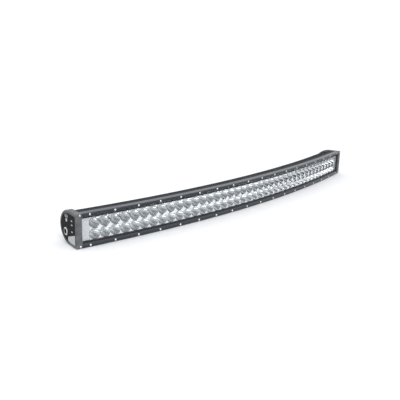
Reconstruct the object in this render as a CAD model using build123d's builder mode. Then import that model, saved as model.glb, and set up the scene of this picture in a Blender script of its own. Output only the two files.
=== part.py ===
from build123d import *
from math import cos, degrees, pi, sin, sqrt, tan
import os

# Curved double-row LED light bar.
# X runs along the bar, the light shines towards -Y and +Z is up. The origin is the middle of
# the underside of the bounding box. Lengths along the bar are arc lengths on the front face of
# the clamp rails, depths are measured back from that face, and heights from the middle line.

# ---- Optics ----
modules = 10            # reflector modules, each on its own LED board
cups_along = 4          # cups along one module
cup_rows = 2
cup_pitch = 25.4        # cup spacing along the front arc and up the bar
cup_wall = 0.45         # plastic left between a cup's mouth and its cell edge
throat_radius = 4.2     # hole round the LED at the cup's foot
reflector_depth = 18.0
module_gap = 0.3        # least room between two modules, where their backs come together
margin = 21.0           # plain plate between the last cup and the end cap
margin_wall = 1.5
board_thickness = 1.6
board_inset = 0.4       # LED board smaller than its reflector all round
board_screws_each = 3
pad_thickness = 0.5
chip_side = 5.0
chip_height = 0.9
dome_radius = 2.3

# ---- Sheet and seals between rails and housing ----
arc_radius = 2920.0     # front face of the clamp rails
lip_depth = 4.0         # back of the rail's lip, which clamps the lens
front_gasket = 1.0
lens_thickness = 3.0
rear_gasket = 1.0
optic_gap = 0.4         # between the lens ledge and the reflectors
side_gap = 0.4          # between the reflectors and the chamber wall
ledge_width = 4.6       # lens overlap on the housing ledge, top and bottom
fit_gap = 0.3           # between parts that pass each other
lens_gap = 0.4          # between the lens edge and the rail
gasket_inset = 0.3

# ---- Clamp rails ----
rail_height = 7.0       # rail block above the lens edge
rail_depth = 15.0
rail_lip = 2.3          # lip over the lens edge
rail_nose_radius = 2.2
rail_bevel_rise = 3.8   # inner bevel, height
rail_bevel_run = 3.4    # inner bevel, depth
rail_screws_each = 18
screw_end_inset = 19.0  # last rail screw to the end of the rail
screw_from_edge = 3.8   # screw row to the rail's outer edge

# ---- Housing ----
nose_gap = 0.2          # rail back to the housing
nose_side_gap = 0.1     # housing nose beside the lens ledge to the rail
chamber_wall = 3.85
web_thickness = 5.0
web_floor = 1.0         # web left under a board screw's hole
channel_depth = 22.5    # wiring channel behind the web
channel_wall = 2.5
block_depth = 12.0      # solid shoulder behind the rail that takes the screws
shoulder_step = 1.0     # shoulder lower than the rail top
fin_rows_half = 5
fin_thickness = 2.2
top_slots = 6
top_slot_width = 2.3
top_slot_pitch = 4.5
port_radius = 3.6       # screw ports for the end caps
port_behind_skin = 2.0  # middle port behind the wiring channel's back wall
slot_floor_rise = 0.8   # top slots end above the upper fin
hole_spare = 1.0        # thread hole longer than its screw
envelope_inset = 4.2    # fin tips inside the end cap outline

# ---- End caps ----
cap_thickness = 14.0
cap_proud = 0.4         # cap edge above the rails
cap_centre_behind_web = 7.5
cap_arc_lead = 6.0      # the cap's outline starts to round this far before its centre
cap_edge_radius = 2.4
cap_gasket = 1.0
badge_recess = 2.0
badge_border = 6.0
badge_front_border = 3.6
badge_thickness = 1.2
mark_height = 0.6
tongue_length = 8.0     # rail tongue inside the cap
tongue_inset = 1.1
tongue_front = 4.5
lens_overlap = 4.0      # lens under the end cap
cap_corner = 3.0        # front corners of the cap's outline
seal_slack = 0.04       # room for the curved lens stack in the cap's straight slot
cap_screw_inset = 3.8   # front screw to the cap's inner face
cap_pocket_depth = 8.0
mount_behind_centre = 9.0
mount_drop = 11.5
insert_flange_radius = 9.0
insert_flange_rise = 0.5
insert_radius = 6.0
m8_tap_radius = 3.4
m8_depth = 12.5

# ---- Screws, as (thread radius, head radius, head height, hex across flats, shank length) ----
m3_button = (1.5, 2.85, 1.9, 2.0, 20.0)
m3_short = (1.5, 2.85, 1.9, 2.0, 11.0)
m4_socket = (2.0, 3.5, 4.0, 3.0, 16.0)
m25_pan = (1.25, 2.3, 1.6, 1.5, 5.0)
button_seat = 1.5       # counterbore depth under a button head
seat_clearance = 0.3
thread_clearance = 0.05

# ---- Cable gland and vent, on the back ----
gland_station = 440.0
vent_station = -380.0
gland_thread_radius = 8.0
gland_flats = 22.0
gland_grip = 4.0        # gland thread past the channel's wall
gland_hex_height = 5.0
dome_rise = 0.4         # gland dome clears the hexagon by this
gland_neck_wall = 0.5   # neck radius over the thread radius
gland_neck_height = 8.0
gland_nut_height = 3.5
dome_height = 13.5
dome_hex_height = 6.0
dome_rounding = 5.0
dome_flats_inset = 0.5
cable_radius = 3.5
cable_clearance = 0.7   # stiff gland parts round the cable
gland_seal_radius = 6.3
gland_seal_floor = 3.0
gland_slack = 0.1       # between the gland's sliding parts
vent_thread_radius = 4.0
vent_grip = 1.5
vent_head_radius = 6.5
vent_head_height = 3.0
vent_rounding = 1.2
vent_groove_radius = 0.8
vent_groove_length = 5.0
pocket_clearance = 2.5

# ---- Drivers in the wiring channel ----
driver_stations = {"left": -75.0, "right": 75.0}
driver_length = 130.0
driver_margin = 2.5     # board edge to channel wall
driver_gap = 0.1        # board's middle to the web
driver_hole_radius = 1.6
driver_hole_inset = 4.0
choke_radius, choke_hole, choke_height, choke_pitch = 9.0, 4.0, 9.0, 84.0
capacitor_radius, capacitor_height, capacitor_pitch = 5.0, 12.0, 48.0
package_length, package_width, package_height, package_pitch = 10.0, 9.0, 4.5, 20.0
row_pitch = 14.0        # rows of components
chip_width, chip_length, chip_rise = 5.0, 20.0, 1.6

# ---- Marks on the badges ----
lamp_radius = 4.0
lamp_behind_centre = 4.0
lamp_height = 15.0
ray_angles = (60, 90, 120)
ray_distance = 10.0
ray_length, ray_width = 7.5, 2.2
tick_depth = 20.0
tick_heights = (19.0, 10.0, -5.0)
tick_length, tick_width = 7.0, 3.0
field_corners = [(0.08, -0.28), (1.12, -0.64), (1.15, -0.90), (0.81, -0.98), (0.08, -0.98)]

# ---- Worked-out sizes ----
step_angle = cup_pitch / arc_radius
optic_front = lip_depth + front_gasket + lens_thickness + rear_gasket + optic_gap
optic_back = optic_front + reflector_depth
board_back = optic_back + board_thickness
web_front = board_back + pad_thickness
web_back = web_front + web_thickness
channel_back = web_back + channel_depth
skin_back = channel_back + channel_wall
ledge_front = optic_front - optic_gap
lens_front = lip_depth + front_gasket
lens_back = lens_front + lens_thickness

cell = cup_pitch * (arc_radius - optic_front) / arc_radius
mouth_radius = cell / 2 - cup_wall
module_angle = cups_along * step_angle
module_half = (arc_radius - optic_back) * tan(module_angle / 2) - module_gap / 2
optic_half = cup_rows * cell / 2
chamber_half = optic_half + side_gap
lens_half = chamber_half + ledge_width
rail_inner = lens_half + lens_gap
rail_outer = rail_inner + rail_height
screw_row = rail_outer - screw_from_edge
cap_radius = rail_outer + cap_proud
cap_centre = web_back + cap_centre_behind_web
envelope_radius = cap_radius - envelope_inset

joint = modules * cups_along * cup_pitch / 2 + margin    # rail end, where the cap starts
housing_end = joint - cap_gasket
screw_pitch = 2 * (joint - screw_end_inset) / (rail_screws_each - 1)
fin_top = chamber_half + chamber_wall
fin_pitch = (fin_top - fin_thickness / 2) / (fin_rows_half - 0.5)
channel_half = (fin_rows_half - 1.5) * fin_pitch - fin_thickness / 2
shoulder = rail_outer - shoulder_step
port_height = (fin_rows_half - 1) * fin_pitch
side_ports = [(cap_centre, port_height), (cap_centre, -port_height),
              (skin_back + port_behind_skin, 0.0)]

cap_angle = joint / arc_radius
rear_reach = (arc_radius * (1 - cos(cap_angle)) + (cap_thickness - cap_edge_radius) * sin(cap_angle)
              + (cap_centre + cap_radius) * cos(cap_angle))
front_y = -rear_reach / 2
middle_z = cap_radius
arc_axis = Axis((0, front_y + arc_radius, 0), (0, 0, 1))

os.makedirs("parts", exist_ok=True)


def write(name, part):
    """Label one finished piece and write it to its own file."""
    part.label = name
    export_step(part, f"parts/{name}.step")


def arc_point(station, depth, height=0.0):
    """Point at an arc length along the bar, a depth behind the rail face and a height."""
    angle = station / arc_radius
    radius = arc_radius - depth
    return (radius * sin(angle), front_y + arc_radius - radius * cos(angle), middle_z + height)


def facing(station, depth, height=0.0):
    """Plane whose x follows the bar, whose y is up and whose normal points out of the front."""
    angle = station / arc_radius
    return Plane(arc_point(station, depth, height), x_dir=(cos(angle), sin(angle), 0),
                 z_dir=(sin(angle), -cos(angle), 0))


def rearward(station, depth, height=0.0):
    """Plane like facing, whose normal points out of the back."""
    angle = station / arc_radius
    return Plane(arc_point(station, depth, height), x_dir=(-cos(angle), -sin(angle), 0),
                 z_dir=(-sin(angle), cos(angle), 0))


def section(station):
    """Plane across the bar: x is depth, y is height and the normal follows the bar."""
    angle = station / arc_radius
    return Plane(arc_point(station, 0), x_dir=(-sin(angle), cos(angle), 0),
                 z_dir=(cos(angle), sin(angle), 0))


def end_plane(side, outward=0.0):
    """Plane on the end cap's inner face: x is depth, and the normal leaves the bar on the
    right for both sides, so a left-hand piece is built towards minus the normal."""
    return section(side * joint).offset(side * outward)


def sweep_angle(half_length):
    """Turn, in degrees, that carries a section from one end of the bar to the other."""
    return degrees(2 * half_length / arc_radius)


def stations(count, pitch):
    """Evenly spaced arc lengths, centred on the bar."""
    return [(i - (count - 1) / 2) * pitch for i in range(count)]


def screw(sizes, domed):
    """One hexagon-socket screw, its head's seat on the XY plane and its shank below it."""
    thread, head, height, flats, length = sizes
    with BuildPart() as made:
        with BuildSketch(Plane.XZ) as profile:
            with BuildLine():
                Polyline((0, -length), (thread - 0.3, -length), (thread, -length + 0.5),
                         (thread, 0), (head, 0))
                if domed:
                    Line((head, 0), (head, 0.25 * height))
                    ThreePointArc((head, 0.25 * height), (0.8 * head, 0.75 * height),
                                  (0.45 * head, height))
                    Polyline((0.45 * head, height), (0, height), (0, -length))
                else:
                    Polyline((head, 0), (head, height - 0.4), (head - 0.4, height), (0, height),
                             (0, -length))
            make_face()
        revolve(axis=Axis.Z)
        with BuildSketch(Plane.XY.offset(height)):
            RegularPolygon(flats / 2, 6, major_radius=False)
        extrude(amount=-0.6 * height, mode=Mode.SUBTRACT)
    return made.part


def place_all(piece, planes):
    """Copies of one piece as separate solids, one on each plane."""
    with BuildPart() as group:
        with Locations(*planes):
            add(piece)
    return group.part


def board_screw_planes(depth):
    """Planes of the LED board screws, which sit between the cups on the middle line."""
    return [facing(s, depth) * Pos(x, 0) for s in module_stations
            for x in stations(board_screws_each, cell)]


rail_stations = stations(rail_screws_each, screw_pitch)
module_stations = stations(modules, cups_along * cup_pitch)
front_cap_screws = [(side * (joint + cap_screw_inset), up * screw_row)
                    for side in (-1, 1) for up in (-1, 1)]


# ---- Housing: one curved extrusion with a lamp chamber, a wiring channel and cooling fins ----
tip_height = fin_top
tip_depth = cap_centre + sqrt(envelope_radius**2 - tip_height**2)
block_front = rail_depth + nose_gap
block_back = block_front + block_depth
nose_half = lens_half + nose_side_gap

with BuildSketch(Plane.XY) as housing_outline:
    with BuildLine():
        Polyline((ledge_front, 0), (ledge_front, nose_half), (block_front, nose_half),
                 (block_front, shoulder), (block_back, shoulder), (tip_depth, tip_height))
        ThreePointArc((tip_depth, tip_height),
                      (cap_centre + envelope_radius * cos(pi / 5), envelope_radius * sin(pi / 5)),
                      (cap_centre + envelope_radius, 0))
        Line((cap_centre + envelope_radius, 0), (ledge_front, 0))
    make_face()
    mirror(about=Plane.XZ)

with BuildPart() as housing:
    with BuildSketch(section(-housing_end)):
        add(housing_outline.sketch)
        with Locations(((ledge_front + web_front) / 2, 0)):
            Rectangle(web_front - ledge_front, 2 * chamber_half, mode=Mode.SUBTRACT)
        with Locations((web_back + channel_depth / 2, 0)):
            Rectangle(channel_depth, 2 * channel_half, mode=Mode.SUBTRACT)
        slot_reach = cap_radius + cap_centre
        for row in range(1 - fin_rows_half, fin_rows_half):
            start = web_back if abs(row) == fin_rows_half - 1 else skin_back
            with Locations((start, row * fin_pitch)):
                Rectangle(slot_reach, fin_pitch - fin_thickness, mode=Mode.SUBTRACT,
                          align=(Align.MIN, Align.CENTER))
        for side in (-1, 1):
            for slot in range(top_slots):
                with Locations((block_back + top_slot_width / 2 + slot * top_slot_pitch,
                                side * (fin_top + slot_floor_rise))):
                    Rectangle(top_slot_width, rail_outer, mode=Mode.SUBTRACT,
                              align=(Align.CENTER, Align.MIN if side > 0 else Align.MAX))
        with Locations(*side_ports):
            Circle(port_radius)
    revolve(axis=arc_axis, revolution_arc=sweep_angle(housing_end))
    with Locations(*[facing(s, block_front, up * screw_row)
                     for s in rail_stations for up in (-1, 1)]):
        Hole(m3_button[0] + thread_clearance, depth=m3_button[4] + button_seat - block_front + hole_spare)
    with Locations(*board_screw_planes(web_front)):
        Hole(m25_pan[0] + thread_clearance, depth=web_thickness - web_floor)
    for side in (-1, 1):
        for depth, height in side_ports:
            with BuildSketch(end_plane(side)):
                with Locations((depth, height)):
                    Circle(m4_socket[0] + thread_clearance)
            extrude(amount=-side * m4_socket[4], mode=Mode.SUBTRACT)
    for station, thread, seat in ((gland_station, gland_thread_radius, gland_flats / sqrt(3)),
                                  (vent_station, vent_thread_radius, vent_head_radius)):
        with BuildSketch(rearward(station, skin_back)):
            Circle(seat + pocket_clearance)
        extrude(amount=cap_radius + cap_centre - skin_back, mode=Mode.SUBTRACT)
        with BuildSketch(rearward(station, skin_back)):
            Circle(thread + thread_clearance)
        extrude(amount=-channel_wall - hole_spare, mode=Mode.SUBTRACT)
write("housing", housing.part)


# ---- Clamp rails: a convex nose over the lens edge, with a tongue into each end cap ----
tongue_low = rail_inner + tongue_inset
tongue_high = rail_outer - tongue_inset

for name, up in (("top_rail", 1), ("bottom_rail", -1)):
    with BuildPart() as rail:
        with BuildSketch(section(-joint + fit_gap)):
            with BuildLine():
                lip_edge = rail_inner - rail_lip
                Polyline((lip_depth, lip_edge), (rail_bevel_run, lip_edge),
                         (0, lip_edge + rail_bevel_rise), (0, rail_outer - rail_nose_radius))
                RadiusArc((0, rail_outer - rail_nose_radius), (rail_nose_radius, rail_outer),
                          rail_nose_radius)
                Polyline((rail_nose_radius, rail_outer), (rail_depth, rail_outer),
                         (rail_depth, rail_inner), (lip_depth, rail_inner), (lip_depth, lip_edge))
            make_face()
            if up < 0:
                mirror(about=Plane.XZ, mode=Mode.REPLACE)
        revolve(axis=arc_axis, revolution_arc=sweep_angle(joint - fit_gap))
        with BuildSketch(section(-joint - tongue_length)):
            with Locations(((tongue_front + rail_depth) / 2, up * (tongue_low + tongue_high) / 2)):
                Rectangle(rail_depth - tongue_front, tongue_high - tongue_low)
        revolve(axis=arc_axis, revolution_arc=sweep_angle(joint + tongue_length))
        with Locations(*[facing(s, 0, up * screw_row) for s in rail_stations]):
            CounterBoreHole(m3_button[0] + thread_clearance, m3_button[1] + seat_clearance,
                            button_seat, depth=rail_depth + hole_spare)
        with Locations(*[facing(s, tongue_front, up * screw_row)
                         for s in (-joint - cap_screw_inset, joint + cap_screw_inset)]):
            Hole(m3_short[0] + thread_clearance,
                 depth=m3_short[4] + button_seat - tongue_front + hole_spare)
    write(name, rail.part)

button_screw = screw(m3_button, domed=True)
for name, up in (("top_rail_screws", 1), ("bottom_rail_screws", -1)):
    write(name, place_all(button_screw, [facing(s, button_seat, up * screw_row)
                                         for s in rail_stations]))

# ---- Lens and its two seals ----
lens_end = joint + lens_overlap

with BuildPart() as lens:
    with BuildSketch(section(-lens_end)):
        with Locations((lens_front + lens_thickness / 2, 0)):
            Rectangle(lens_thickness, 2 * lens_half)
    revolve(axis=arc_axis, revolution_arc=sweep_angle(lens_end))
write("lens", lens.part)

for name, start, thickness in (("lens_gasket_front", lip_depth, front_gasket),
                               ("lens_gasket_rear", lens_back, rear_gasket)):
    with BuildPart() as seal:
        with BuildSketch(section(-lens_end)):
            with Locations((start + thickness / 2, 0)):
                Rectangle(thickness, 2 * lens_half)
        revolve(axis=arc_axis, revolution_arc=sweep_angle(lens_end))
        with BuildSketch(section(-joint + gasket_inset)):
            with Locations((start + thickness / 2, 0)):
                Rectangle(thickness, 2 * (chamber_half + gasket_inset))
        revolve(axis=arc_axis, revolution_arc=sweep_angle(joint - gasket_inset),
                mode=Mode.SUBTRACT)
    write(name, seal.part)

# ---- Reflector modules, LED boards and LEDs ----
focus = (mouth_radius**2 - throat_radius**2) / reflector_depth

with BuildPart() as cup:
    with BuildSketch(Plane.XZ):
        with BuildLine():
            Polyline((throat_radius, -reflector_depth), (throat_radius, -reflector_depth - 1),
                     (0, -reflector_depth - 1), (0, 1), (mouth_radius, 1), (mouth_radius, 0))
            Bezier((mouth_radius, 0),
                   ((mouth_radius + throat_radius) / 2,
                    (mouth_radius - throat_radius) * throat_radius / focus - reflector_depth),
                   (throat_radius, -reflector_depth))
        make_face()
    revolve(axis=Axis.Z)

with BuildPart() as reflector:
    with BuildSketch(Plane.XY):
        Rectangle(2 * module_half, 2 * optic_half)
    extrude(amount=-reflector_depth)
    with GridLocations(cell, cell, cups_along, cup_rows):
        add(cup.part, mode=Mode.SUBTRACT)
    with BuildSketch(Plane.XY.offset(-reflector_depth)):
        with GridLocations(cell, cell, board_screws_each, 1):
            Circle(m25_pan[1] + seat_clearance)
    extrude(amount=m25_pan[2] + seat_clearance, mode=Mode.SUBTRACT)

with BuildPart() as board:
    with BuildSketch(Plane.XY):
        Rectangle(2 * (module_half - board_inset), 2 * (optic_half - board_inset))
        with GridLocations(cell, cell, board_screws_each, 1):
            Circle(m25_pan[0] + thread_clearance, mode=Mode.SUBTRACT)
    extrude(amount=-board_thickness)

with BuildPart() as chip:
    with BuildSketch(Plane.XY):
        Rectangle(chip_side, chip_side)
    extrude(amount=chip_height)
    with Locations((0, 0, chip_height)):
        Sphere(dome_radius, arc_size1=0, align=(Align.CENTER, Align.CENTER, Align.MIN))

with BuildPart() as chip_set:
    with GridLocations(cell, cell, cups_along, cup_rows):
        add(chip.part)

for number, station in enumerate(module_stations, 1):
    for name, piece, depth in (("reflector", reflector, optic_front), ("led_board", board, optic_back),
                               ("led_chips", chip_set, optic_back)):
        with BuildPart(facing(station, depth)) as placed:
            add(piece.part)
        write(f"{name}_{number:02d}", placed.part)

with BuildPart() as pads:
    for station in module_stations:
        with BuildSketch(facing(station, board_back)):
            Rectangle(2 * (module_half - board_inset), 2 * (optic_half - board_inset))
            with GridLocations(cell, cell, board_screws_each, 1):
                Circle(m25_pan[0] + thread_clearance, mode=Mode.SUBTRACT)
    extrude(amount=-3 * pad_thickness)
    with BuildSketch(section(-joint)):
        with Locations((web_front, 0)):
            Rectangle(2 * pad_thickness + board_thickness, 2 * optic_half,
                      align=(Align.MAX, Align.CENTER))
    revolve(axis=arc_axis, revolution_arc=sweep_angle(joint), mode=Mode.INTERSECT)
write("thermal_pads", pads.part)

write("board_screws", place_all(screw(m25_pan, domed=True), board_screw_planes(optic_back)))

# ---- Plain plates between the last cups and the end caps ----
margin_half = margin / 2 - module_gap
for name, side in (("margin_plate_left", -1), ("margin_plate_right", 1)):
    station = side * (joint - margin / 2)
    with BuildPart() as plate:
        with BuildSketch(facing(station, optic_front)):
            Rectangle(2 * margin_half, 2 * optic_half)
        extrude(amount=optic_front - web_front + module_gap)
        with BuildSketch(facing(station, optic_front + margin_wall)):
            Rectangle(2 * (margin_half - margin_wall), 2 * (optic_half - margin_wall))
        extrude(amount=optic_front - web_front, mode=Mode.SUBTRACT)
    write(name, plate.part)

# ---- End caps, with their seals, badges and threaded inserts ----
mount_point = (cap_centre + mount_behind_centre, -mount_drop)


def cap_shape(border, front):
    """Face with the cap's outline, inset by a border and starting at a depth."""
    with BuildSketch(Plane.XY) as shape:
        arc_start = cap_centre - cap_arc_lead
        with Locations((arc_start, 0)):
            Ellipse(cap_radius + cap_arc_lead - border, cap_radius - border)
            Rectangle(2 * cap_radius, 2 * cap_radius, align=(Align.MAX, Align.CENTER),
                      mode=Mode.SUBTRACT)
        with Locations((front, 0)):
            Rectangle(arc_start - front, 2 * (cap_radius - border),
                      align=(Align.MIN, Align.CENTER))
        fillet(shape.vertices().group_by(Axis.X)[0], cap_corner)
    return shape.sketch


for name, side in (("left", -1), ("right", 1)):
    outward = Axis((0, 0, 0), end_plane(side).z_dir * side)
    recess_plane = end_plane(side, cap_thickness - badge_recess)

    with BuildPart() as cap:
        with BuildSketch(end_plane(side)):
            add(cap_shape(0, 0))
        extrude(amount=side * cap_thickness)
        fillet(cap.faces().sort_by(outward)[-1].edges(), cap_edge_radius)
        with BuildSketch(recess_plane):
            add(cap_shape(badge_border, badge_front_border))
        extrude(amount=side * badge_recess, mode=Mode.SUBTRACT)
        with BuildSketch(end_plane(side)):
            with Locations(((lip_depth + ledge_front) / 2, 0)):
                Rectangle(ledge_front - lip_depth + seal_slack, 2 * (lens_half + fit_gap))
        extrude(amount=side * (lens_overlap + fit_gap), mode=Mode.SUBTRACT)
        with BuildSketch(end_plane(side)):
            for up in (-1, 1):
                with Locations(((tongue_front + rail_depth) / 2,
                                up * (tongue_low + tongue_high) / 2)):
                    Rectangle(rail_depth - tongue_front + fit_gap,
                              tongue_high - tongue_low + fit_gap)
        extrude(amount=side * (tongue_length + fit_gap), mode=Mode.SUBTRACT)
        with BuildSketch(end_plane(side)):
            with Locations((web_front, chamber_half / 3)):
                RectangleRounded(web_front - ledge_front, chamber_half, cap_corner,
                                 align=(Align.MAX, Align.CENTER))
        extrude(amount=side * cap_pocket_depth, mode=Mode.SUBTRACT)
        with BuildSketch(recess_plane):
            with Locations(mount_point):
                Circle(insert_radius)
            with Locations(*side_ports):
                Circle(m4_socket[0] + seat_clearance)
        extrude(amount=-side * cap_thickness, mode=Mode.SUBTRACT)
        with BuildSketch(recess_plane):
            with Locations(*side_ports):
                Circle(m4_socket[1] + seat_clearance)
        extrude(amount=-side * m4_socket[2], mode=Mode.SUBTRACT)
        with Locations(*[facing(side * (joint + cap_screw_inset), 0, up * screw_row)
                         for up in (-1, 1)]):
            CounterBoreHole(m3_short[0] + thread_clearance, m3_short[1] + seat_clearance,
                            button_seat, depth=rail_depth + hole_spare)
    write(f"end_cap_{name}", cap.part)

    with BuildPart() as cap_seal:
        with BuildSketch(section(housing_end if side > 0 else -joint)):
            add(housing_outline.sketch)
            with Locations(((ledge_front + web_front) / 2, 0)):
                Rectangle(web_front - ledge_front, 2 * chamber_half, mode=Mode.SUBTRACT)
            with Locations((web_back + channel_depth / 2, 0)):
                Rectangle(channel_depth, 2 * channel_half, mode=Mode.SUBTRACT)
            with Locations(*side_ports):
                Circle(m4_socket[0] + seat_clearance, mode=Mode.SUBTRACT)
            with Locations((block_front, 0)):
                Rectangle(cap_radius, 2 * cap_radius, align=(Align.MAX, Align.CENTER),
                          mode=Mode.SUBTRACT)
        revolve(axis=arc_axis, revolution_arc=degrees(cap_gasket / arc_radius))
    write(f"cap_gasket_{name}", cap_seal.part)

    with BuildPart() as badge:
        with BuildSketch(recess_plane):
            add(cap_shape(badge_border + fit_gap, badge_front_border + fit_gap))
            with Locations(mount_point):
                Circle(insert_flange_radius + fit_gap, mode=Mode.SUBTRACT)
        extrude(amount=side * badge_thickness)
    write(f"badge_{name}", badge.part)

    with BuildPart() as insert:
        with BuildSketch(recess_plane):
            with Locations(mount_point):
                Circle(insert_flange_radius)
        extrude(amount=side * (badge_recess + insert_flange_rise))
        chamfer(insert.faces().sort_by(outward)[-1].edges(), insert_flange_rise)
        with BuildSketch(recess_plane):
            with Locations(mount_point):
                Circle(insert_radius)
        extrude(amount=-side * (cap_thickness - badge_recess))
        with BuildSketch(end_plane(side, cap_thickness + insert_flange_rise)):
            with Locations(mount_point):
                Circle(m8_tap_radius)
        extrude(amount=-side * m8_depth, mode=Mode.SUBTRACT)
    write(f"mount_insert_{name}", insert.part)

# Raised marks on the badges: a small lamp with three rays, three level ticks and a plain field.
# The field's corners are given in parts of the badge's half height.
badge_half = cap_radius - badge_border
with BuildPart() as marks:
    for side in (-1, 1):
        with BuildSketch(end_plane(side, cap_thickness - badge_recess + badge_thickness)):
            with Locations((cap_centre + lamp_behind_centre, lamp_height)):
                Circle(lamp_radius)
                with PolarLocations(ray_distance, len(ray_angles), start_angle=ray_angles[0],
                                    angular_range=ray_angles[-1] - ray_angles[0], endpoint=True):
                    Rectangle(ray_length, ray_width)
            with Locations(*[(tick_depth, height) for height in tick_heights]):
                SlotOverall(tick_length, tick_width)
            with Locations((badge_front_border, 0)):
                Polygon(*[(x * badge_half, y * badge_half) for x, y in field_corners], align=None)
        extrude(amount=side * mark_height)
write("badge_marks", marks.part)

cap_screw_list = place_all(screw(m3_short, domed=True),
                           [facing(s, button_seat, height) for s, height in front_cap_screws])
side_screw = screw(m4_socket, domed=False)
with BuildPart() as cap_screws:
    add(cap_screw_list)
    for side in (-1, 1):
        seat = end_plane(side, cap_thickness - badge_recess - m4_socket[2])
        with Locations(*[Plane(seat.from_local_coords((depth, height, 0)), x_dir=(0, 0, 1),
                               z_dir=seat.z_dir * side) for depth, height in side_ports]):
            add(side_screw)
write("cap_screws", cap_screws.part)

# ---- Cable gland, on the back near the right end ----
gland_plane = rearward(gland_station, skin_back)

neck_radius = gland_thread_radius + gland_neck_wall
neck_end = gland_hex_height + gland_neck_height
cable_passage = neck_end + dome_height + gland_grip + channel_wall
dome_start = gland_hex_height + dome_rise

with BuildPart(gland_plane) as gland_body:
    Cylinder(gland_thread_radius, channel_wall + gland_grip,
             align=(Align.CENTER, Align.CENTER, Align.MAX))
    with BuildSketch(gland_plane):
        RegularPolygon(gland_flats / 2, 6, major_radius=False)
    extrude(amount=gland_hex_height)
    with Locations((0, 0, gland_hex_height)):
        Cylinder(neck_radius, gland_neck_height, align=(Align.CENTER, Align.CENTER, Align.MIN))
    with Locations((0, 0, neck_end)):
        CounterBoreHole(cable_radius + cable_clearance, gland_seal_radius,
                        neck_end - gland_seal_floor, depth=cable_passage)
write("gland_body", gland_body.part)

with BuildPart(gland_plane) as gland_seal:
    with Locations((0, 0, gland_seal_floor)):
        Cylinder(gland_seal_radius - gland_slack, neck_end - gland_seal_floor + 2 * gland_slack,
                 align=(Align.CENTER, Align.CENTER, Align.MIN))
        Cylinder(cable_radius, cable_passage, mode=Mode.SUBTRACT)
write("gland_seal", gland_seal.part)

with BuildPart(gland_plane) as gland_dome:
    with Locations((0, 0, dome_start)):
        Cylinder(gland_flats / 2 - dome_flats_inset, dome_height,
                 align=(Align.CENTER, Align.CENTER, Align.MIN))
    fillet(gland_dome.edges().sort_by(Axis((0, 0, 0), gland_plane.z_dir))[-1], dome_rounding)
    with BuildSketch(gland_plane.offset(dome_start)):
        RegularPolygon(gland_flats / 2, 6, major_radius=False)
    extrude(amount=dome_hex_height)
    with Locations((0, 0, dome_start)):
        Cylinder(neck_radius + gland_slack, gland_neck_height,
                 align=(Align.CENTER, Align.CENTER, Align.MIN), mode=Mode.SUBTRACT)
        Cylinder(cable_radius + cable_clearance, cable_passage, mode=Mode.SUBTRACT)
write("gland_dome", gland_dome.part)

with BuildPart() as gland_locknut:
    with BuildSketch(rearward(gland_station, channel_back)):
        RegularPolygon(gland_flats / 2, 6, major_radius=False)
        Circle(gland_thread_radius + thread_clearance, mode=Mode.SUBTRACT)
    extrude(amount=-gland_nut_height)
write("gland_locknut", gland_locknut.part)

# ---- Breather vent, on the back left of the middle ----
vent_plane = rearward(vent_station, skin_back)
with BuildPart(vent_plane) as vent_plug:
    Cylinder(vent_thread_radius, channel_wall + vent_grip,
             align=(Align.CENTER, Align.CENTER, Align.MAX))
    Cylinder(vent_head_radius, vent_head_height, align=(Align.CENTER, Align.CENTER, Align.MIN))
    fillet(vent_plug.edges().sort_by(Axis((0, 0, 0), vent_plane.z_dir))[-1], vent_rounding)
    with Locations((0, 0, vent_head_height / 2)):
        with PolarLocations(vent_head_radius, 4):
            Cylinder(vent_groove_radius, vent_groove_length, rotation=(0, 90, 0),
                     mode=Mode.SUBTRACT)
write("vent_plug", vent_plug.part)

# ---- LED drivers, standing against the web inside the wiring channel ----
driver_front = web_back + driver_length**2 / (8 * (arc_radius - web_back)) + driver_gap
driver_height = 2 * (channel_half - driver_margin)

for side, station in driver_stations.items():
    with BuildPart() as driver:
        with BuildSketch(rearward(station, driver_front)):
            Rectangle(driver_length, driver_height)
            with GridLocations(driver_length - 2 * driver_hole_inset,
                               driver_height - 2 * driver_hole_inset, 2, 2):
                Circle(driver_hole_radius, mode=Mode.SUBTRACT)
        extrude(amount=board_thickness)
    write(f"driver_board_{side}", driver.part)

with BuildPart() as components:
    for station in driver_stations.values():
        surface = rearward(station, driver_front + board_thickness)
        with BuildSketch(surface):
            with GridLocations(choke_pitch, 0, 2, 1):
                Circle(choke_radius)
                Circle(choke_hole, mode=Mode.SUBTRACT)
        extrude(amount=choke_height)
        with BuildSketch(surface):
            with GridLocations(capacitor_pitch, row_pitch, 2, 2):
                Circle(capacitor_radius)
        extrude(amount=capacitor_height)
        with BuildSketch(surface):
            with GridLocations(package_pitch, row_pitch, 2, 2):
                Rectangle(package_length, package_width)
        extrude(amount=package_height)
        with BuildSketch(surface):
            Rectangle(chip_width, chip_length)
        extrude(amount=chip_rise)
write("driver_components", components.part)
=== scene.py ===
"""Looks of a curved two-row LED light bar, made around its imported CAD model."""

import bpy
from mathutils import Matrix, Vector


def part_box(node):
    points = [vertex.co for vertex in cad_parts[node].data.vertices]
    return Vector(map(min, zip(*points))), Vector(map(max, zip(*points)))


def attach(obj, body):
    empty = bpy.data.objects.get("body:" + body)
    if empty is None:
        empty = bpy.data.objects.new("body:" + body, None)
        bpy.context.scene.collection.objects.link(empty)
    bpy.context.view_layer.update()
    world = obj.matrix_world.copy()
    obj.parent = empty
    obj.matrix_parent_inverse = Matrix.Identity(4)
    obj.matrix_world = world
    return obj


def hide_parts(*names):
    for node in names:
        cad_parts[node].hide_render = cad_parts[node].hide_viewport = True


bl_info = {
    "name": "Light Bar Studio",
    "version": (1, 0, 0),
    "blender": (4, 5, 0),
    "location": "3D View > Sidebar > Light Bar",
    "description": "Finishes and studio for a curved LED light bar",
    "category": "Object",
}

import bmesh
import bpy
import numpy as np
from mathutils import Matrix, Vector

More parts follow.
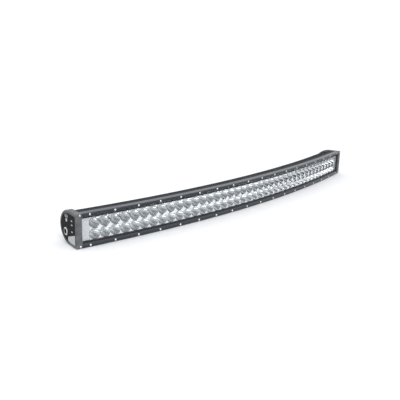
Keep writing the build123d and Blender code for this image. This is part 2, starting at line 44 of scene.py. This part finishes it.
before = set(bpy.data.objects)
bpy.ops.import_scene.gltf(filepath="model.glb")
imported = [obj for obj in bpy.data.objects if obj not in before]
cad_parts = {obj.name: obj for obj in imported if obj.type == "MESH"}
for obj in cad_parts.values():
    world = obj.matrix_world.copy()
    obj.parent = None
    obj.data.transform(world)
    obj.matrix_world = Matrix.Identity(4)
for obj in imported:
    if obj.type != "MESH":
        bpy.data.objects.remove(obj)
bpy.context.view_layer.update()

LENS_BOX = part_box("lens")
FRONT_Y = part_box("top_rail")[0].y
MIDDLE_Z = (LENS_BOX[0].z + LENS_BOX[1].z) / 2
MODULES = sorted(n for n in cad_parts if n.startswith("reflector_"))
BOARDS = sorted(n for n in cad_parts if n.startswith("led_board_"))
CHIPS = sorted(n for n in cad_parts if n.startswith("led_chips_"))

NEAR = 1e-6             # points closer than this are one point, in metres
SLIVER = 1e-7           # edges shorter than this are removed, in metres
CREASE = 35             # faces that turn more than this keep a crisp edge, in degrees
FACING_OUT = 0.99       # share of a normal along the outward axis that makes a face flat
EIGHTH_POINTS = 4       # points on each part of an eighth of a cup
RING_SPREAD = 0.8       # below one, the rings crowd towards a cup's mouth
EDGE_BLUR = 0.0003      # width of the soft edge of the painted shade in a threaded hole, in metres
FLOOR_HALF = 12.0       # half the floor's width, in metres
FLOOR_DROP = 0.0005     # floor under the bar's lowest point, in metres


# ---- Settings ----
class LIGHTBAR_PG_body(bpy.types.PropertyGroup):
    """Sizes that the made pieces share with the CAD model."""

    arc_radius: bpy.props.FloatProperty(
        name="Arc radius", description="Radius of the rails' front face",
        default=2.920, unit="LENGTH")
    cup_pitch: bpy.props.FloatProperty(
        name="Cup pitch", description="Spacing of the cups along the front arc",
        default=0.0254, unit="LENGTH")
    cups_along: bpy.props.IntProperty(
        name="Cups along a module", description="Columns of cups in one reflector module",
        default=4)
    optic_depth: bpy.props.FloatProperty(
        name="Reflector face", description="Depth of the reflectors' front behind the rails' face",
        default=0.0094, unit="LENGTH")
    reflector_depth: bpy.props.FloatProperty(
        name="Reflector depth", description="Depth of a cup from its mouth to its foot",
        default=0.018, unit="LENGTH")
    cup_overlap: bpy.props.FloatProperty(
        name="Cup overlap", description="Radius of a cup's mouth past its cell's edge",
        default=0.0009, unit="LENGTH")
    bowl_rings: bpy.props.IntProperty(
        name="Bowl rings", description="Rings of points down a cup", default=11)
    throat_radius: bpy.props.FloatProperty(
        name="Throat radius", description="Hole for the LED at a cup's foot",
        default=0.0042, unit="LENGTH")
    flange_station: bpy.props.FloatProperty(
        name="Flange station", description="Bracket hole's distance along the front arc",
        default=0.529, unit="LENGTH")
    # radius of the painted shade over the bracket flange's threaded hole
    flange_bore: bpy.props.FloatProperty(
        name="Flange bore", description="Radius of the dark hole in the bracket flange",
        default=0.0058, unit="LENGTH")


class LIGHTBAR_PG_finish(bpy.types.PropertyGroup):
    """Colours of the finishes."""

    housing: bpy.props.FloatVectorProperty(
        name="Housing", description="Powder coat on the finned housing", subtype="COLOR",
        size=3, default=(0.024, 0.027, 0.031))
    rail: bpy.props.FloatVectorProperty(
        name="Rails", description="Satin coat on the clamp rails", subtype="COLOR",
        size=3, default=(0.021, 0.025, 0.034))
    cap: bpy.props.FloatVectorProperty(
        name="End caps", description="Textured coat on the cast end caps", subtype="COLOR",
        size=3, default=(0.140, 0.143, 0.150))
    chrome: bpy.props.FloatVectorProperty(
        name="Cup bowls", description="Metallised plastic inside the cups", subtype="COLOR",
        size=3, default=(0.70, 0.72, 0.73))
    chrome_face: bpy.props.FloatVectorProperty(
        name="Cup faces", description="Metallised plastic between the cups", subtype="COLOR",
        size=3, default=(0.97, 0.97, 0.97))
    chrome_plate: bpy.props.FloatVectorProperty(
        name="Plain plates", description="Metallised plates beside the end caps",
        subtype="COLOR", size=3, default=(0.82, 0.83, 0.83))


class LIGHTBAR_PG_studio(bpy.types.PropertyGroup):
    """Camera, lights and floor."""

    focal_length: bpy.props.FloatProperty(
        name="Focal length", description="Camera lens on a 36 mm square sensor, in millimetres",
        default=51.2)
    camera_place: bpy.props.FloatVectorProperty(
        name="Camera place", description="Camera position before the front of the bar's middle",
        size=3, default=(-1.1895, -0.8807, 0.3889), subtype="TRANSLATION")
    camera_turn: bpy.props.FloatVectorProperty(
        name="Camera turn", description="Camera's turn from +Y, its tilt down and its roll",
        size=3, default=(0.8343, 0.2747, 0.0276), subtype="EULER")
    floor_colour: bpy.props.FloatVectorProperty(
        name="Floor", description="Colour of the studio floor", subtype="COLOR",
        size=3, default=(0.92, 0.92, 0.92))
    sky_colour: bpy.props.FloatVectorProperty(
        name="Sky colour", description="Colour of the sky's light", subtype="COLOR",
        size=3, default=(0.955, 0.975, 1.0))
    sky_low: bpy.props.FloatProperty(
        name="Dim sky", description="Strength of the sky near the ground", default=0.2)
    sky_under: bpy.props.FloatProperty(
        name="Light from below", description="Strength of the sky straight below", default=0.8)
    sky_high: bpy.props.FloatProperty(
        name="Bright sky", description="Strength of the sky overhead", default=1.15)
    sky_start: bpy.props.FloatProperty(
        name="Sky start", description="Upward part of a direction where the sky brightens",
        default=-0.85)
    sky_end: bpy.props.FloatProperty(
        name="Sky end", description="Upward part of a direction where the sky is full",
        default=0.2)
    sky_behind: bpy.props.FloatProperty(
        name="Sky behind", description="Strength of the sky where it is seen directly",
        default=1.1)
    under_start: bpy.props.FloatProperty(
        name="Light from below starts", description="Upward part of a direction where it starts",
        default=-0.6)
    under_end: bpy.props.FloatProperty(
        name="Light from below is full", description="Upward part of a direction where it is full",
        default=-0.95)
    key_power: bpy.props.FloatProperty(
        name="Key light", description="Power of the large soft light overhead, in watts",
        default=13.0)
    key_size: bpy.props.FloatProperty(
        name="Key light size", description="Side of the square key light",
        default=0.9, unit="LENGTH")
    key_place: bpy.props.FloatVectorProperty(
        name="Key light place", description="Position of the key light, which faces the middle",
        size=3, default=(-0.9, -1.5, 1.7), subtype="TRANSLATION")
    sensor: bpy.props.FloatProperty(
        name="Sensor", description="Camera's sensor width, in millimetres", default=36.0)
    clip_end: bpy.props.FloatProperty(
        name="Farthest view", description="Distance past which the camera sees nothing",
        default=50.0, unit="LENGTH")


def body():
    """The sizes in use."""
    return bpy.context.scene.lightbar_body


def finish():
    """The colours in use."""
    return bpy.context.scene.lightbar_finish


def studio():
    """The camera, light and floor settings in use."""
    return bpy.context.scene.lightbar_studio


# ---- Mesh building ----
def arc_frame(station, depth):
    """Origin, along, up and outward unit vectors at a place on the bar.

    With a = station / R: origin = ((R - depth) sin a, y0 + R - (R - depth) cos a, z0),
    along = (cos a, sin a, 0), up = (0, 0, 1) and outward = (sin a, -cos a, 0).
    """
    radius = body().arc_radius
    angle = station / radius
    reach = radius - depth
    origin = np.array((reach * np.sin(angle), FRONT_Y + radius - reach * np.cos(angle), MIDDLE_Z))
    along = np.array((np.cos(angle), np.sin(angle), 0.0))
    outward = np.array((np.sin(angle), -np.cos(angle), 0.0))
    return origin, along, np.array((0.0, 0.0, 1.0)), outward


def placed(local, where):
    """Points (x, y, z) of a local frame as origin + x along + y up + z outward."""
    origin, along, up, outward = where
    return origin + local[..., :1] * along + local[..., 1:2] * up + local[..., 2:3] * outward


def ring_faces(rows, columns):
    """Quads joining each ring of a rows by columns grid to the next, closed round the rings."""
    i = np.arange(rows - 1)[:, None]
    j = np.arange(columns)[None, :]
    k = (j + 1) % columns
    quads = np.stack((i * columns + j, i * columns + k, (i + 1) * columns + k,
                      (i + 1) * columns + j), -1)
    return quads.reshape(-1, 4)


def new_piece(name, points, faces, material):
    """A smooth mesh object from an array of points and an array of faces, doubles merged and
    normals pointing outwards."""
    mesh = bpy.data.meshes.new(name)
    mesh.from_pydata(points.reshape(-1, 3).tolist(), [], faces.tolist())
    shape = bmesh.new()
    shape.from_mesh(mesh)
    bmesh.ops.remove_doubles(shape, verts=shape.verts, dist=NEAR)
    bmesh.ops.dissolve_degenerate(shape, edges=shape.edges, dist=SLIVER)
    bmesh.ops.recalc_face_normals(shape, faces=shape.faces)
    shape.to_mesh(mesh)
    shape.free()
    mesh.materials.append(material)
    mesh.polygons.foreach_set("use_smooth", np.ones(len(mesh.polygons), bool))
    obj = bpy.data.objects.new(name, mesh)
    bpy.context.scene.collection.objects.link(obj)
    return obj


# ---- Finishes ----
class Finish:
    """A node material under construction."""

    def __init__(self, name, colour, rough, metallic=0.0):
        self.material = bpy.data.materials.new(name)
        self.material.use_nodes = True
        self.nodes = self.material.node_tree.nodes
        self.links = self.material.node_tree.links
        self.shader = self.nodes["Principled BSDF"]
        self.shader.inputs["Base Color"].default_value = (*colour, 1.0)
        self.shader.inputs["Roughness"].default_value = rough
        self.shader.inputs["Metallic"].default_value = metallic

    def coordinates(self, stretch=(1.0, 1.0, 1.0)):
        """Object coordinates, stretched along the axes."""
        source = self.nodes.new("ShaderNodeTexCoord")
        mapping = self.nodes.new("ShaderNodeMapping")
        mapping.inputs["Scale"].default_value = stretch
        self.links.new(source.outputs["Object"], mapping.inputs["Vector"])
        return mapping.outputs["Vector"]

    def noise(self, scale, detail=3.0, stretch=(1.0, 1.0, 1.0)):
        """Noise of a scale in cycles per metre."""
        node = self.nodes.new("ShaderNodeTexNoise")
        node.inputs["Scale"].default_value = scale
        node.inputs["Detail"].default_value = detail
        self.links.new(self.coordinates(stretch), node.inputs["Vector"])
        return node.outputs["Fac"]

    def between(self, factor, low, high, start=0.35, end=0.65):
        """Number that runs from low to high as a factor runs from start to end."""
        node = self.nodes.new("ShaderNodeMapRange")
        for name, value in (("From Min", start), ("From Max", end), ("To Min", low),
                            ("To Max", high)):
            node.inputs[name].default_value = value
        self.links.new(factor, node.inputs["Value"])
        return node.outputs["Result"]

    def shade(self, factor, dark, light, start=0.35, end=0.65):
        """Colour that runs from dark to light as a factor runs from start to end."""
        node = self.nodes.new("ShaderNodeValToRGB")
        node.color_ramp.elements[0].position = start
        node.color_ramp.elements[1].position = end
        node.color_ramp.elements[0].color = (*dark, 1.0)
        node.color_ramp.elements[1].color = (*light, 1.0)
        self.links.new(factor, node.inputs["Fac"])
        return node.outputs["Color"]

    def bump(self, height, distance, strength=1.0):
        """Bump from a height, with its depth in metres."""
        node = self.nodes.new("ShaderNodeBump")
        node.inputs["Strength"].default_value = strength
        node.inputs["Distance"].default_value = distance
        self.links.new(height, node.inputs["Height"])
        self.links.new(node.outputs["Normal"], self.shader.inputs["Normal"])

    def drive(self, socket, output):
        """Feeds a socket of the shader from another node."""
        self.links.new(output, self.shader.inputs[socket])

    def set(self, socket, value):
        """Sets a socket of the shader to a plain value."""
        self.shader.inputs[socket].default_value = value


def tone(colour, share):
    """A colour made lighter or darker by a share."""
    return tuple(min(1.0, c * share) for c in colour)


def powder_coat(name, colour, rough, grain, depth, shine):
    """Baked powder coat: a fine orange-peel skin with slightly uneven gloss and colour."""
    coat = Finish(name, colour, rough)
    coat.set("Specular IOR Level", shine)
    coat.drive("Base Color", coat.shade(coat.noise(90.0), tone(colour, 0.82), tone(colour, 1.22)))
    coat.drive("Roughness", coat.between(coat.noise(260.0), rough - 0.06, rough + 0.08))
    coat.bump(coat.noise(grain, detail=2.0), depth)
    return coat.material


def satin_rail(name, colour):
    """Satin black extrusion with faint drawing lines along its length."""
    coat = Finish(name, colour, 0.31)
    coat.set("Specular IOR Level", 0.55)
    lines = coat.noise(60.0, detail=4.0, stretch=(0.05, 0.05, 14.0))
    coat.drive("Base Color", coat.shade(lines, tone(colour, 0.85), tone(colour, 1.25)))
    coat.drive("Roughness", coat.between(coat.noise(180.0), 0.27, 0.36))
    coat.bump(coat.noise(1400.0, detail=1.0), 0.00002)
    return coat.material


def mirror_plastic(name, colour, rough, metallic=1.0):
    """Vacuum-metallised plastic: a mirror with a faint orange peel and haze."""
    coat = Finish(name, colour, rough, metallic)
    coat.drive("Roughness", coat.between(coat.noise(150.0), 0.7 * rough, 1.5 * rough))
    coat.bump(coat.noise(220.0, detail=1.0), 0.00004)
    return coat.material


def clear_sheet(name):
    """Clear moulded polycarbonate."""
    sheet = Finish(name, (0.9, 0.95, 1.0), 0.03)
    sheet.set("Alpha", 0.05)
    sheet.set("IOR", 1.5)
    return sheet.material


def plain_rubber(name):
    """Black silicone with a dusty, uneven sheen."""
    rubber = Finish(name, (0.012, 0.012, 0.013), 0.6)
    rubber.drive("Roughness", rubber.between(rubber.noise(400.0), 0.5, 0.72))
    rubber.bump(rubber.noise(900.0), 0.00004)
    return rubber.material


def turned_steel(name, colour, rough):
    """Bright stainless steel with fine tool marks."""
    steel = Finish(name, colour, rough, metallic=1.0)
    steel.drive("Roughness", steel.between(steel.noise(700.0), rough - 0.05, rough + 0.1))
    steel.bump(steel.noise(2500.0, detail=1.0), 0.00001)
    return steel.material


def threaded_insert(name, node, radius):
    """Bright flange round a threaded hole, with painted shade in the hole: inside the bore's
    radius the colour turns near-black and rougher.

    The painted shade follows the distance from the hole's axis, |p - (p . a) a|, with p
    measured from the flange's middle and a the axis.
    """
    bright = (0.8, 0.8, 0.81)
    insert = Finish(name, bright, 0.2, metallic=1.0)
    low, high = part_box(node)
    middle = (low + high) / 2
    side = np.sign(middle.x)
    angle = side * body().flange_station / body().arc_radius
    axis = (np.cos(angle), np.sin(angle), 0.0)
    source = insert.nodes.new("ShaderNodeTexCoord")
    offset = insert.nodes.new("ShaderNodeVectorMath")
    offset.operation = "SUBTRACT"
    offset.inputs[1].default_value = middle
    across = insert.nodes.new("ShaderNodeVectorMath")
    across.operation = "CROSS_PRODUCT"
    across.inputs[1].default_value = axis
    distance = insert.nodes.new("ShaderNodeVectorMath")
    distance.operation = "LENGTH"
    insert.links.new(source.outputs["Object"], offset.inputs[0])
    insert.links.new(offset.outputs["Vector"], across.inputs[0])
    insert.links.new(across.outputs["Vector"], distance.inputs[0])
    share = insert.between(distance.outputs["Value"], 0.0, 1.0,
                           radius - EDGE_BLUR, radius + EDGE_BLUR)
    # painted shade: near-black inside the bore's radius, the flange's bright steel outside it
    insert.drive("Base Color", insert.shade(share, (0.01, 0.01, 0.011), bright, 0.4, 0.6))
    insert.drive("Roughness", insert.between(share, 0.6, 0.2, 0.0, 1.0))
    return insert.material


def moulded_plastic(name, colour, rough, grain=1200.0, depth=0.00002, shine=0.5):
    """Moulded plastic with a light texture."""
    plastic = Finish(name, colour, rough)
    plastic.set("Specular IOR Level", shine)
    plastic.drive("Base Color", plastic.shade(plastic.noise(140.0), tone(colour, 0.85),
                                              tone(colour, 1.15)))
    plastic.bump(plastic.noise(grain), depth)
    return plastic.material


def phosphor(name):
    """Yellow phosphor seen through a clear silicone dome."""
    glow = Finish(name, (0.8, 0.79, 0.68), 0.25)
    glow.drive("Base Color", glow.shade(glow.noise(500.0), (0.74, 0.73, 0.6), (0.86, 0.85, 0.76)))
    glow.set("Coat Weight", 1.0)
    glow.set("Coat Roughness", 0.03)
    return glow.material


def paint(nodes, material):
    """Gives a material to CAD nodes, in place of the plain one they come with."""
    for name in nodes:
        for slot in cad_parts[name].material_slots:
            slot.link = "DATA"
            slot.material = material


# ---- Pieces ----
def cup_module(name, where, bowl, face):
    """One reflector moulding with its grid of paraboloid cups.

    Around a cup, the bowl is r^2 = throat^2 + k (z + depth). It rises to its rim at
    min(mouth, square), where square = (c / 2) / max(|cos t|, |sin t|) is the cell's edge, so
    neighbouring bowls meet in a dipped ridge and leave flat faces only at the cell's corners.
    A skirt goes down from the edge to the flat underside where the cell is on the outside.
    """
    p = body()
    cell = p.cup_pitch * (p.arc_radius - p.optic_depth) / p.arc_radius
    half = cell / 2
    mouth = half + p.cup_overlap
    steepness = (mouth**2 - p.throat_radius**2) / p.reflector_depth
    corner = np.arccos(half / mouth)
    eighth = np.concatenate((np.linspace(0, corner, EIGHTH_POINTS)[:-1],
                             np.linspace(corner, np.pi / 4, EIGHTH_POINTS)))
    quarter = np.concatenate((eighth, np.pi / 2 - eighth[-2:0:-1]))
    turn = (quarter + np.arange(4)[:, None] * np.pi / 2).ravel()
    square = half / np.maximum(np.abs(np.cos(turn)), np.abs(np.sin(turn)))
    rim = np.minimum(mouth, square)
    climb = np.linspace(0, 1, p.bowl_rings)[::-1, None] ** RING_SPREAD
    bowl_r = p.throat_radius + climb * (rim - p.throat_radius)
    bowl_z = (bowl_r**2 - p.throat_radius**2) / steepness - p.reflector_depth
    edge_z = bowl_z[0] * (rim >= square - NEAR)
    radii = np.concatenate(([square, square], bowl_r, [square]))
    levels = np.concatenate(([np.full_like(square, -p.reflector_depth), edge_z], bowl_z,
                             [np.full_like(square, -p.reflector_depth)]))
    cup = np.stack((radii * np.cos(turn), radii * np.sin(turn), levels), -1)
    rings, around = radii.shape
    quads = ring_faces(rings, around)
    reach = np.array((p.cups_along * half, cell))
    points, faces = [], []
    for x in (np.arange(p.cups_along) - (p.cups_along - 1) / 2) * cell:
        for y in (-half, half):
            moved = cup + (x, y, 0.0)
            outside = np.abs(np.abs(moved[0, :, :2]) - reach) < NEAR
            skirt = (outside & np.roll(outside, -1, 0)).any(1)
            keep = np.concatenate((skirt, np.ones((rings - 2) * around, bool)))
            faces.append(quads[keep] + len(points) * rings * around)
            points.append(moved)
    obj = new_piece(name, placed(np.concatenate(points), where), np.concatenate(faces), bowl)
    obj.data.materials.append(face)
    normals = np.empty(len(obj.data.polygons) * 3)
    obj.data.polygons.foreach_get("normal", normals)
    flat = normals.reshape(-1, 3) @ where[3] > FACING_OUT
    obj.data.polygons.foreach_set("material_index", flat.astype(np.int32))
    obj.data.set_sharp_from_angle(angle=np.radians(CREASE))
    return obj


class LIGHTBAR_OT_reflectors(bpy.types.Operator):
    """Make the reflector modules and finish the plain plates beside them"""

    bl_idname = "lightbar.reflectors"
    bl_label = "Reflector modules"

    def execute(self, context):
        p = body()
        bowl = mirror_plastic("metallised bowl", finish().chrome, 0.13)
        face = mirror_plastic("metallised face", finish().chrome_face, 0.3, metallic=0.1)
        pitch = p.cups_along * p.cup_pitch
        for number, node in enumerate(MODULES):
            station = (number - (len(MODULES) - 1) / 2) * pitch
            piece = cup_module(f"cup_module_{number + 1:02d}", arc_frame(station, p.optic_depth),
                               bowl, face)
            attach(piece, "root")
            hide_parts(node)
        paint(["margin_plate_left", "margin_plate_right"],
              mirror_plastic("metallised plate", finish().chrome_plate, 0.3, metallic=0.6))
        return {"FINISHED"}


class LIGHTBAR_OT_leds(bpy.types.Operator):
    """Finish the LEDs, their boards and the parts behind them"""

    bl_idname = "lightbar.leds"
    bl_label = "LEDs and boards"

    def execute(self, context):
        paint(CHIPS, phosphor("phosphor under silicone"))
        paint(BOARDS, moulded_plastic("white solder resist", (0.75, 0.76, 0.76), 0.35))
        paint(["driver_board_left", "driver_board_right"],
              moulded_plastic("green solder resist", (0.02, 0.12, 0.05), 0.3))
        paint(["driver_components"], moulded_plastic("component cases", (0.03, 0.03, 0.032), 0.5))
        paint(["thermal_pads"], moulded_plastic("gap pad", (0.3, 0.33, 0.35), 0.8))
        return {"FINISHED"}


class LIGHTBAR_OT_housing(bpy.types.Operator):
    """Finish the finned housing and the clamp rails"""

    bl_idname = "lightbar.housing"
    bl_label = "Housing and rails"

    def execute(self, context):
        paint(["housing"], powder_coat("housing powder coat", finish().housing, 0.65,
                                       1500.0, 0.00003, 0.12))
        paint(["top_rail", "bottom_rail"], satin_rail("satin rail", finish().rail))
        return {"FINISHED"}


class LIGHTBAR_OT_caps(bpy.types.Operator):
    """Finish the end caps, their badges and the threaded inserts"""

    bl_idname = "lightbar.caps"
    bl_label = "End caps"

    def execute(self, context):
        paint(["end_cap_left", "end_cap_right"],
              powder_coat("textured cap coat", finish().cap, 0.55, 1100.0, 0.00006, 0.25))
        paint(["badge_left", "badge_right"],
              moulded_plastic("satin black badge", (0.006, 0.006, 0.007), 0.4, shine=0.08))
        paint(["badge_marks"], turned_steel("silver marks", (0.72, 0.73, 0.75), 0.22))
        for side in ("left", "right"):
            node = f"mount_insert_{side}"
            # each insert's material paints shade into its threaded hole
            paint([node], threaded_insert(f"{side} insert", node, body().flange_bore))
        return {"FINISHED"}


class LIGHTBAR_OT_screws(bpy.types.Operator):
    """Finish all screws"""

    bl_idname = "lightbar.screws"
    bl_label = "Screws"

    def execute(self, context):
        paint([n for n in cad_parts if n.endswith("screws")],
              turned_steel("stainless screw", (0.82, 0.82, 0.83), 0.18))
        return {"FINISHED"}


class LIGHTBAR_OT_lens(bpy.types.Operator):
    """Finish the lens and all seals"""

    bl_idname = "lightbar.lens"
    bl_label = "Lens and seals"

    def execute(self, context):
        paint(["lens"], clear_sheet("clear polycarbonate"))
        paint([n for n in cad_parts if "gasket" in n or n == "gland_seal"],
              plain_rubber("black silicone"))
        return {"FINISHED"}


class LIGHTBAR_OT_back(bpy.types.Operator):
    """Finish the cable gland and the breather"""

    bl_idname = "lightbar.back"
    bl_label = "Gland and breather"

    def execute(self, context):
        paint(["gland_body", "gland_dome", "gland_locknut", "vent_plug"],
              moulded_plastic("black nylon", (0.018, 0.018, 0.019), 0.42, 900.0, 0.00004))
        return {"FINISHED"}


class LIGHTBAR_OT_studio(bpy.types.Operator):
    """Make the camera, the lights and the floor"""

    bl_idname = "lightbar.studio"
    bl_label = "Studio"

    def execute(self, context):
        s = studio()
        turn, tilt, roll = s.camera_turn
        camera = bpy.data.cameras.new("studio_camera")
        camera.lens = s.focal_length
        camera.sensor_width = s.sensor
        camera.clip_end = s.clip_end
        eye = bpy.data.objects.new("studio_camera", camera)
        place = Vector(s.camera_place) + Vector((0.0, FRONT_Y, MIDDLE_Z))
        eye.matrix_world = (Matrix.Translation(place) @ Matrix.Rotation(-turn, 4, "Z")
                            @ Matrix.Rotation(np.pi / 2 - tilt, 4, "X")
                            @ Matrix.Rotation(roll, 4, "Z"))
        context.scene.collection.objects.link(eye)
        context.scene.camera = eye

        self.add_floor(context, s)
        self.add_key(context, s)
        self.add_sky(context, s)
        context.scene.view_settings.view_transform = "Standard"
        return {"FINISHED"}

    def add_sky(self, context, s):
        """A soft sky that lights the bar, seen as plain white behind it.

        The light that comes from a direction d is low + (high - low) * rise(d.z) + under *
        fall(d.z). rise is a smooth step up to the bright upper side, and fall is one down to
        the light from straight below.
        """
        world = bpy.data.worlds.new("studio_sky")
        world.use_nodes = True
        nodes, links = world.node_tree.nodes, world.node_tree.links
        direction = nodes.new("ShaderNodeTexCoord")
        axes = nodes.new("ShaderNodeSeparateXYZ")
        links.new(direction.outputs["Generated"], axes.inputs["Vector"])
        light = nodes.new("ShaderNodeMath")
        steps = ((s.sky_start, s.sky_end, s.sky_low, s.sky_high),
                 (s.under_start, s.under_end, 0.0, s.sky_under))
        for socket, values in enumerate(steps):
            rise = nodes.new("ShaderNodeMapRange")
            rise.interpolation_type = "SMOOTHSTEP"
            for name, value in zip(("From Min", "From Max", "To Min", "To Max"), values):
                rise.inputs[name].default_value = value
            links.new(axes.outputs["Z"], rise.inputs["Value"])
            links.new(rise.outputs["Result"], light.inputs[socket])
        path = nodes.new("ShaderNodeLightPath")
        seen = nodes.new("ShaderNodeMix")
        seen.data_type = "FLOAT"
        links.new(path.outputs["Is Camera Ray"], seen.inputs["Factor"])
        links.new(light.outputs["Value"], seen.inputs["A"])
        seen.inputs["B"].default_value = s.sky_behind
        links.new(seen.outputs["Result"], nodes["Background"].inputs["Strength"])
        nodes["Background"].inputs["Color"].default_value = (*s.sky_colour, 1.0)
        context.scene.world = world

    def add_floor(self, context, s):
        """A wide flat sheet just under the bar, which throws no light back on it."""
        mesh = bpy.data.meshes.new("studio_floor")
        corners = [(FLOOR_HALF * x, FLOOR_HALF * y, 0)
                   for x, y in ((-1, -1), (1, -1), (1, 1), (-1, 1))]
        mesh.from_pydata(corners, [], [(0, 1, 2, 3)])
        floor = bpy.data.objects.new("studio_floor", mesh)
        floor.location.z = -FLOOR_DROP
        mesh.materials.append(Finish("floor paint", s.floor_colour, 0.9).material)
        floor.visible_diffuse = False
        floor.visible_glossy = False
        context.scene.collection.objects.link(floor)

    def add_key(self, context, s):
        """A square area light that faces the middle of the bar's footprint."""
        lamp = bpy.data.lights.new("key_light", "AREA")
        lamp.energy = s.key_power
        lamp.size = s.key_size
        holder = bpy.data.objects.new("key_light", lamp)
        holder.location = s.key_place
        aim = -Vector(s.key_place)
        holder.rotation_euler = aim.to_track_quat("-Z", "Y").to_euler()
        context.scene.collection.objects.link(holder)


class LIGHTBAR_PT_panel(bpy.types.Panel):
    """Lists the light bar's steps in the sidebar"""

    bl_idname = "LIGHTBAR_PT_panel"
    bl_label = "Light Bar"
    bl_space_type = "VIEW_3D"
    bl_region_type = "UI"
    bl_category = "Light Bar"

    def draw(self, context):
        for settings in (body(), finish(), studio()):
            for name in settings.__annotations__:
                self.layout.prop(settings, name)
        for step in STEPS:
            self.layout.operator(step.bl_idname)


STEPS = (
    LIGHTBAR_OT_studio,
    LIGHTBAR_OT_housing,
    LIGHTBAR_OT_reflectors,
    LIGHTBAR_OT_leds,
    LIGHTBAR_OT_lens,
    LIGHTBAR_OT_caps,
    LIGHTBAR_OT_screws,
    LIGHTBAR_OT_back,
)
SETTINGS = (
    ("lightbar_body", LIGHTBAR_PG_body),
    ("lightbar_finish", LIGHTBAR_PG_finish),
    ("lightbar_studio", LIGHTBAR_PG_studio),
)


def register():
    for name, group in SETTINGS:
        bpy.utils.register_class(group)
        setattr(bpy.types.Scene, name, bpy.props.PointerProperty(type=group))
    for step in (*STEPS, LIGHTBAR_PT_panel):
        bpy.utils.register_class(step)


def unregister():
    for step in reversed((*STEPS, LIGHTBAR_PT_panel)):
        bpy.utils.unregister_class(step)
    for name, group in reversed(SETTINGS):
        delattr(bpy.types.Scene, name)
        bpy.utils.unregister_class(group)


def main():
    """Builds the whole scene."""
    register()
    for step in STEPS:
        group, operator = step.bl_idname.split(".")
        getattr(getattr(bpy.ops, group), operator)()


if __name__ == "__main__":
    main()
